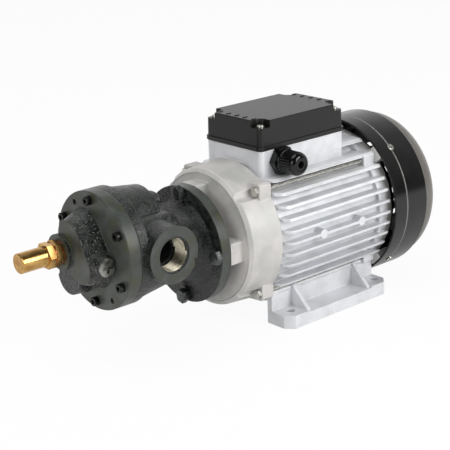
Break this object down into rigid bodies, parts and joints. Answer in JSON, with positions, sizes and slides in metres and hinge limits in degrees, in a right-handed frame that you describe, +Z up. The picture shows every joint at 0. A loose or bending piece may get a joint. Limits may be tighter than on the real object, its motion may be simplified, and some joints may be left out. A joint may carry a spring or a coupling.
{
  "type": "gear pump with electric motor",
  "caption": "Close-coupled external gear pump with threaded ports and an adjustable relief valve, driven by a finned, foot-mounted, fan-cooled electric motor.",
  "frame": {"origin": "centre of the four foot bolt holes, on the surface that the feet stand on", "axes": "+X along the shaft from the pump to the fan, -Y towards the port and the cable gland side, +Z up"},
  "size_m": [0.4303, 0.1644, 0.1946],
  "materials": {
    "cast_iron": "black-painted casting, satin, with machined faces",
    "gear_steel": "ground steel",
    "bright_screws": "zinc-plated steel",
    "black_screws": "black-oxide steel",
    "bronze": "sintered bronze",
    "brass": "turned brass",
    "copper": "annealed copper",
    "die_cast": "die-cast aluminium, matt",
    "lamination": "stacked steel sheet",
    "winding": "varnished copper wire",
    "black_plastic": "moulded, satin",
    "gloss_plastic": "moulded, glossy",
    "grey_plastic": "moulded, satin",
    "rubber": "nitrile rubber",
    "gasket": "pressed gasket sheet"
  },
  "bodies": {
    "frame": {"front_cover": "cast_iron", "cover_gasket": "gasket", "pump_body": "cast_iron", "front_bearing_block": "die_cast", "front_bushes": "bronze", "rear_bushes": "bronze", "shaft_seal": "rubber", "cover_screws": "black_screws", "dowel_pins": "gear_steel", "gallery_plug": "bright_screws", "valve_spring": "gear_steel", "valve_spring_seat": "brass", "valve_body": "brass", "adjusting_screw": "brass", "valve_washers": "copper", "valve_cap": "brass", "flange_bolts": "black_screws", "flange_washers": "black_screws", "front_shield": "die_cast", "motor_housing": "die_cast", "stator_core": "lamination", "stator_windings": "winding", "front_bearing_outer": "gear_steel", "rear_bearing_outer": "gear_steel", "bearing_spring": "gear_steel", "rear_shield": "die_cast", "fan_cover": "black_plastic", "fan_cover_cap": "grey_plastic", "fan_cover_screws": "bright_screws", "tie_bolts": "bright_screws", "box_gasket": "gasket", "box_cover": "black_plastic", "box_cover_screws": "bright_screws", "terminal_block": "black_plastic", "terminal_studs": "brass", "run_capacitor": "grey_plastic", "gland_body": "gloss_plastic", "gland_nut": "gloss_plastic", "gland_seal": "rubber", "gland_locknut": "gloss_plastic"},
    "rotor": {"drive_shaft": "gear_steel", "drive_gear": "gear_steel", "drive_gear_key": "gear_steel", "coupling_sleeve": "gear_steel", "coupling_keys": "gear_steel", "motor_shaft": "gear_steel", "rotor_core": "lamination", "front_bearing_inner": "gear_steel", "rear_bearing_inner": "gear_steel", "cooling_fan": "black_plastic", "fan_clip": "gear_steel"},
    "idler": {"driven_gear": "gear_steel", "driven_shaft": "gear_steel"},
    "poppet": {"valve_poppet": "gear_steel"}
  },
  "joints": [
    {"name": "rotor_spin", "type": "hinge", "parent": "frame", "child": "rotor", "pos_m": [0, 0, 0.085], "axis": [1, 0, 0], "continuous": true},
    {"name": "idler_spin", "type": "hinge", "parent": "frame", "child": "idler", "pos_m": [-0.193, 0.018, 0.11618], "axis": [1, 0, 0], "continuous": true},
    {"name": "poppet_lift", "type": "slide", "parent": "frame", "child": "poppet", "axis": [-1, 0, 0], "range_m": [0, 0.006], "stiffness_N_per_m": 3000, "springref_m": -0.004, "deforming": ["valve_spring"]}
  ],
  "couplings": [
    {"joint": "idler_spin", "follows": "rotor_spin", "ratio": -1}
  ]
}
